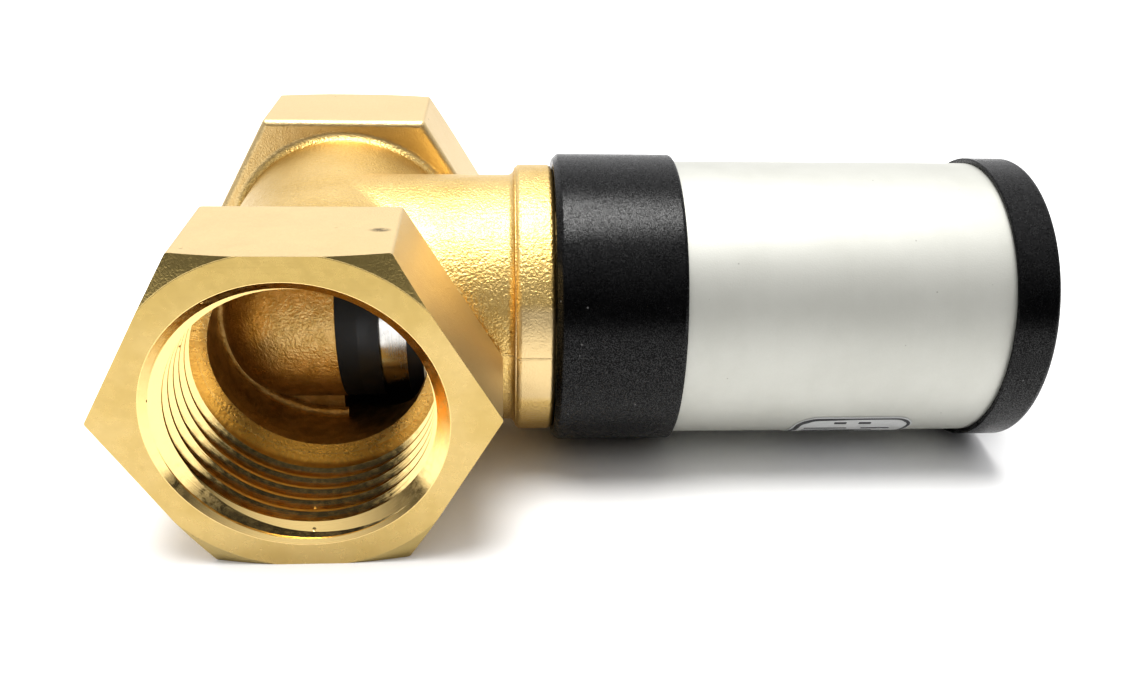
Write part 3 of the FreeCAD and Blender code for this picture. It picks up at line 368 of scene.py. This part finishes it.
def wound_copper():
    """Enamelled wire, seen as turns side by side."""
    f = Finish("wound_copper")
    turns = f.math("ABSOLUTE", f.math("SINE", f.math("DIVIDE", f.x, 0.10 * MM)))
    stain = f.noise(2.0 * MM, 3.0)
    tone = f.blend(f.remap(stain, 0.4, 0.7), (0.66, 0.27, 0.11), (0.50, 0.18, 0.07))
    return f.done(tone, 1.0, f.remap(stain, 0.3, 0.7, 0.24, 0.34), f.bump(turns, 0.06 * MM))


def printed_film():
    """The plate's film: a pale grey with a fine print grain under a thin gloss."""
    f = Finish("printed_film")
    cloud = f.noise(2.6 * MM, 4.0)
    dots = f.noise(0.16 * MM, 1.0)
    tone = f.blend(f.remap(cloud, 0.35, 0.7), (0.50, 0.505, 0.50), (0.45, 0.455, 0.45))
    tone = f.blend(f.remap(dots, 0.45, 0.65, 0.0, 0.25), tone, (0.60, 0.61, 0.61))
    normal = f.bump(f.noise(0.4 * MM, 3.0), 0.006 * MM)
    return f.done(tone, 0.0, f.remap(cloud, 0.3, 0.7, 0.34, 0.46), normal, Coat_Weight=0.25)


def printed_ink():
    """The ink of the plate's frame and marks."""
    f = Finish("printed_ink")
    edge = f.noise(0.5 * MM, 4.0)
    tone = f.blend(f.remap(edge, 0.45, 0.75), (0.012, 0.012, 0.014), (0.05, 0.05, 0.055))
    return f.done(tone, 0.0, f.remap(edge, 0.3, 0.7, 0.36, 0.52), f.bump(edge, 0.004 * MM))


SLOTS = {
    "brass": cast_brass(),
    "turned_brass": metal("turned_brass", (0.78, 0.58, 0.26), (0.68, 0.47, 0.19), 0.24),
    "sleeve_plastic": moulded("sleeve_plastic", (0.70, 0.66, 0.54), (0.60, 0.55, 0.44), 0.45),
    "rubber": moulded("rubber", (0.008, 0.008, 0.008), (0.018, 0.018, 0.018), 0.58, 0.22 * MM, 0.010 * MM),
    "black_plastic": moulded("black_plastic", (0.007, 0.007, 0.008), (0.016, 0.016, 0.017), 0.46),
    "stainless": metal("stainless", (0.72, 0.71, 0.69), (0.58, 0.57, 0.55), 0.20),
    "spring_steel": metal("spring_steel", (0.56, 0.55, 0.53), (0.44, 0.43, 0.41), 0.28),
    "magnetic_steel": metal("magnetic_steel", (0.55, 0.55, 0.53), (0.42, 0.42, 0.40), 0.30),
    "zinc_steel": metal("zinc_steel", (0.62, 0.64, 0.64), (0.50, 0.51, 0.48), 0.34),
    "bobbin_plastic": moulded("bobbin_plastic", (0.05, 0.045, 0.04), (0.08, 0.07, 0.06), 0.48),
    "copper": wound_copper(),
    "tape": moulded("tape", (0.60, 0.43, 0.10), (0.50, 0.34, 0.08), 0.30, 0.6 * MM, 0.010 * MM),
    "lead_insulation": moulded("lead_insulation", (0.30, 0.02, 0.02), (0.22, 0.015, 0.015), 0.38),
    "black_coating": coated_black(),
    "aluminium": satin_aluminium(),
    "plate": printed_film(),
    "nickel": metal("nickel", (0.64, 0.61, 0.56), (0.52, 0.49, 0.44), 0.18),
    "insulator_plastic": moulded("insulator_plastic", (0.012, 0.012, 0.013), (0.022, 0.022, 0.023), 0.42),
    "gold": metal("gold", (0.90, 0.66, 0.28), (0.80, 0.55, 0.20), 0.20),
}
for part in frame["record"]["subparts"]:
    mesh = NODES[part["node"]].data
    mesh.materials.clear()
    mesh.materials.append(SLOTS[part["material_slot"]])


# ---- pieces that the solids don't carry ----

def add_piece(name, points, faces, material, smooth=True):
    """A piece of its own mesh that rides with the valve's fixed parts."""
    mesh = bpy.data.meshes.new(name)
    mesh.from_pydata(points, [], faces)
    mesh.materials.append(material)
    mesh.update()
    piece = bpy.data.objects.new(name, mesh)
    bpy.context.scene.collection.objects.link(piece)
    if smooth:
        mesh.shade_smooth()
        mesh.set_sharp_from_angle(angle=math.radians(35))
    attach(piece, "root")
    return piece


PLATE_LOW, PLATE_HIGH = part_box("rating_plate")
PLATE_X = (PLATE_LOW[0] + PLATE_HIGH[0]) / 2
PLATE_SIZE = (PLATE_HIGH[0] - PLATE_LOW[0], 12.0 * MM)
PLATE_R = TUBE_R + 0.14 * MM                       # the film's outer face
PLATE_ANGLE = math.radians(51.0)                   # the plate's middle, down from the side towards -Y
PLATE_CORNER = 3.0 * MM
PLATE_EDGE = 0.25 * MM                             # from the film's edge to the printed frame
INK_HEIGHT = 0.03 * MM
INK_SUNK = -0.02 * MM
INK = printed_ink()


def on_plate(along, across, lift):
    """A point on the plate: along X, across its height, and lifted off its face."""
    angle = PLATE_ANGLE + across / PLATE_R
    radius = PLATE_R + lift
    return (PLATE_X + along, AXIS_Y - radius * math.cos(angle), AXIS_Z - radius * math.sin(angle))


def rounded_outline(width, height, corner, steps=10):
    """A rounded rectangle's outline, with extra points on its long sides."""
    outline = []
    middles = [(width / 2 - corner, height / 2 - corner), (corner - width / 2, height / 2 - corner),
               (corner - width / 2, corner - height / 2), (width / 2 - corner, corner - height / 2)]
    for turn, (x, y) in enumerate(middles):
        for step in range(steps + 1):
            angle = math.pi / 2 * (turn + step / steps)
            outline.append((x + corner * math.cos(angle), y + corner * math.sin(angle)))
    dense = []
    for (x0, y0), (x1, y1) in zip(outline, outline[1:] + outline[:1]):
        parts = max(1, int(math.hypot(x1 - x0, y1 - y0) / (0.5 * MM)))
        for part in range(parts):
            dense.append((x0 + (x1 - x0) * part / parts, y0 + (y1 - y0) * part / parts))
    return dense


def plate_frame():
    """The printed frame: a raised band between two outlines, thicker towards one lower corner."""
    outer = rounded_outline(PLATE_SIZE[0] - 2 * PLATE_EDGE, PLATE_SIZE[1] - 2 * PLATE_EDGE,
                            PLATE_CORNER - PLATE_EDGE)
    inner = []
    for x, y in outer:
        thick = 0.42 * MM + (0.30 * MM if x < 0 and y < 0 else 0.0) * min(1.0, abs(x) / (5 * MM))
        nearness_x = min(1.0, abs(x) / (PLATE_SIZE[0] / 2 - 1 * MM)) ** 6
        nearness_y = min(1.0, abs(y) / (PLATE_SIZE[1] / 2 - 1 * MM)) ** 4
        inner.append((x - thick * math.copysign(1, x) * nearness_x,
                      y - thick * math.copysign(1, y) * nearness_y))
    points = []
    for outline, lift in ((outer, INK_SUNK), (outer, INK_HEIGHT), (inner, INK_HEIGHT), (inner, INK_SUNK)):
        points += [on_plate(x, y, lift) for x, y in outline]
    count = len(outer)
    faces = []
    for row in range(4):
        for i in range(count):
            j = (i + 1) % count
            a, b = row * count, ((row + 1) % 4) * count
            faces.append((a + i, a + j, b + j, b + i))
    add_piece("plate_frame", points, faces, INK)


def plate_mark(name, x, y, width, height, slant):
    """A small solid printed mark."""
    outline = [(x + px + slant * py, y + py) for px, py in rounded_outline(width, height, 0.12 * MM, 4)]
    count = len(outline)
    points = [on_plate(px, py, lift) for lift in (INK_HEIGHT, INK_SUNK) for px, py in outline]
    faces = [tuple(range(count)), tuple(reversed(range(count, 2 * count)))]
    faces += [(i, count + i, count + (i + 1) % count, (i + 1) % count) for i in range(count)]
    add_piece(name, points, faces, INK, smooth=False)


# each mark's middle along and across the plate, and its width and height
MARKS = (
    (-2.0 * MM, -4.1 * MM, 1.7 * MM, 0.7 * MM),
    (1.4 * MM, -4.1 * MM, 1.7 * MM, 0.7 * MM),
    (-3.4 * MM, -1.6 * MM, 6.0 * MM, 0.45 * MM),
    (3.6 * MM, -1.6 * MM, 4.0 * MM, 0.45 * MM),
    (-1.4 * MM, -0.2 * MM, 10.0 * MM, 0.3 * MM),
    (-2.4 * MM, 1.0 * MM, 8.0 * MM, 0.3 * MM),
    (-0.4 * MM, 2.2 * MM, 12.0 * MM, 0.3 * MM),
    (-3.0 * MM, 3.4 * MM, 6.8 * MM, 0.3 * MM))
MARK_SLANT = 0.12
plate_frame()
for index, (x, y, width, height) in enumerate(MARKS):
    plate_mark(f"plate_mark_{index + 1}", x, y, width, height, MARK_SLANT)


def ring(x, radii):
    """Points round the solenoid's axis at one X, with a radius for each."""
    turn = 2 * math.pi / len(radii)
    return [(x, AXIS_Y + radius * math.cos(turn * i), AXIS_Z + radius * math.sin(turn * i))
            for i, radius in enumerate(radii)]


SHELL_AROUND = 96                                  # points round the shell
SHELL_PER_PITCH = 12                               # rings along each turn of its thread
SHELL_PITCH = 1.0 * MM
SHELL_THREAD_DEPTH = 0.55 * MM
SHELL_LEAD_IN = 0.8 * MM                           # over which the thread grows out of the flange
SHELL_CHAMFER = 0.4 * MM
SHELL_BREAK = 0.15 * MM                            # the broken edges of flange and bore
SHELL_FLANGE = 1.2 * MM
SHELL_FLANGE_R = 8.4 * MM
SHELL_SHANK_STEP = 0.3 * MM
SHELL_BORE_GAP = 0.05 * MM


def threaded_shell():
    """The inlet's shell with its real M12 x 1 thread. It stands for the plain solid."""
    low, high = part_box("inlet_shell")
    insulator_low, insulator_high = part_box("inlet_insulator")
    radius = POWER_INLET["dims"]["r_mm"] * MM
    bore = (insulator_high[2] - insulator_low[2]) / 2 + SHELL_BORE_GAP
    shank = radius - SHELL_SHANK_STEP
    end = high[0]
    start = POWER_INLET["pos_m"][0] - POWER_INLET["dims"]["length_mm"] / 2 * MM
    flange = start - SHELL_FLANGE
    profile = [(low[0], bore), (low[0], shank), (flange, shank), (flange, SHELL_FLANGE_R - SHELL_BREAK),
               (flange + SHELL_BREAK, SHELL_FLANGE_R), (start - SHELL_BREAK, SHELL_FLANGE_R),
               (start, SHELL_FLANGE_R - SHELL_BREAK)]
    rings = [ring(x, [r] * SHELL_AROUND) for x, r in profile]
    steps = int((end - start) / SHELL_PITCH * SHELL_PER_PITCH)
    for step in range(steps + 1):
        x = start + (end - start) * step / steps
        ease = min(1.0, (x - start) / SHELL_LEAD_IN)
        chamfered = radius - max(0.0, x - (end - SHELL_CHAMFER))
        radii = []
        for number in range(SHELL_AROUND):
            phase = ((x - start) / SHELL_PITCH - number / SHELL_AROUND) % 1.0
            groove = max(0.0, 1.0 - abs(phase - 0.5) / 0.44)
            radii.append(min(radius - SHELL_THREAD_DEPTH * min(groove, 0.875) * ease, chamfered))
        rings.append(ring(x, radii))
    for x, r in ((end, bore + SHELL_BREAK), (end - SHELL_BREAK, bore)):
        rings.append(ring(x, [r] * SHELL_AROUND))
    faces = []
    for row in range(len(rings)):
        here, there = row * SHELL_AROUND, (row + 1) % len(rings) * SHELL_AROUND
        for i in range(SHELL_AROUND):
            j = (i + 1) % SHELL_AROUND
            faces.append((here + i, there + i, there + j, here + j))
    points = [point for row in rings for point in row]
    piece = add_piece("inlet_shell_threaded", points, faces, SLOTS["nickel"])
    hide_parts("inlet_shell")


threaded_shell()


# ---- floor, light and camera ----

FLOOR_REACH = 3.0                                  # half the floor's side
FLOOR_GAP = 0.02 * MM


def floor():
    """A plain pale floor under the object."""
    mesh = bpy.data.meshes.new("floor")
    corners = [(x * FLOOR_REACH, y * FLOOR_REACH, FLOOR_Z - FLOOR_GAP)
               for x, y in ((-1, -1), (1, -1), (1, 1), (-1, 1))]
    mesh.from_pydata(corners, [], [(0, 1, 2, 3)])
    piece = bpy.data.objects.new("floor", mesh)
    bpy.context.scene.collection.objects.link(piece)
    f = Finish("floor_white")
    tone = f.blend(f.remap(f.noise(40 * MM, 3.0), 0.3, 0.7), (0.93, 0.93, 0.93), (0.95, 0.95, 0.95))
    mesh.materials.append(f.done(tone, 0.0, 0.55, f.bump(f.noise(1.2 * MM, 2.0), 0.004 * MM),
                                 Specular_IOR_Level=0.3))


def overhead_light():
    """A wide soft light almost straight above the object."""
    lamp = bpy.data.lights.new("overhead_softbox", "SUN")
    lamp.energy = 2.7
    lamp.angle = math.radians(34)
    lamp.color = (1.0, 0.995, 0.98)
    towards_light = Vector((-0.06, 0.02, 1.0))
    piece = bpy.data.objects.new("overhead_softbox", lamp)
    piece.rotation_mode = "QUATERNION"
    piece.rotation_quaternion = (-towards_light).to_track_quat("-Z", "Y")
    bpy.context.scene.collection.objects.link(piece)


def studio():
    """A room that is bright above the object and behind it and dim in front, with a pale backdrop."""
    world = bpy.data.worlds.new("studio")
    world.use_nodes = True
    tree = world.node_tree
    place = tree.nodes.new("ShaderNodeTexCoord")
    toward = tree.nodes.new("ShaderNodeVectorMath")
    toward.operation = "DOT_PRODUCT"
    tree.links.new(place.outputs["Generated"], toward.inputs[0])
    toward.inputs[1].default_value = (0.0, 0.42, 0.91)
    fade = tree.nodes.new("ShaderNodeMapRange")
    fade.interpolation_type = "SMOOTHSTEP"
    tree.links.new(toward.outputs["Value"], fade.inputs["Value"])
    for name, value in (("From Min", -0.18), ("From Max", 0.85), ("To Min", 0.03), ("To Max", 1.12)):
        fade.inputs[name].default_value = value
    background = tree.nodes["Background"]
    background.inputs["Color"].default_value = (0.99, 0.99, 1.0, 1.0)
    seen = tree.nodes.new("ShaderNodeLightPath")
    backdrop = tree.nodes.new("ShaderNodeMapRange")
    tree.links.new(seen.outputs["Is Camera Ray"], backdrop.inputs["Value"])
    tree.links.new(fade.outputs[0], backdrop.inputs["To Min"])
    backdrop.inputs["To Max"].default_value = 1.1
    tree.links.new(backdrop.outputs[0], background.inputs["Strength"])
    bpy.context.scene.world = world


def camera():
    """The camera at the viewing angle of the picture, in the row frame."""
    place = (0.0232, -0.10115, 0.0621)
    yaw, pitch, roll = (math.radians(angle) for angle in (4.018, 28.076, 1.656))
    forward = Vector((math.sin(yaw) * math.cos(pitch), math.cos(yaw) * math.cos(pitch), -math.sin(pitch)))
    level = Vector((math.cos(yaw), -math.sin(yaw), 0.0))
    upright = level.cross(forward)
    right = math.cos(roll) * level + math.sin(roll) * upright
    up = -math.sin(roll) * level + math.cos(roll) * upright
    lens = bpy.data.cameras.new("camera")
    lens.lens = 32.72
    lens.sensor_width = 36.0
    lens.clip_start = 0.005
    piece = bpy.data.objects.new("camera", lens)
    bpy.context.scene.collection.objects.link(piece)
    turned = Matrix((right, up, -forward)).transposed().to_4x4()
    piece.matrix_world = Matrix.Translation(place) @ turned
    bpy.context.scene.camera = piece


floor()
overhead_light()
studio()
bpy.context.scene.view_settings.view_transform = "Standard"
bpy.context.scene.view_settings.look = "Medium High Contrast"
camera()
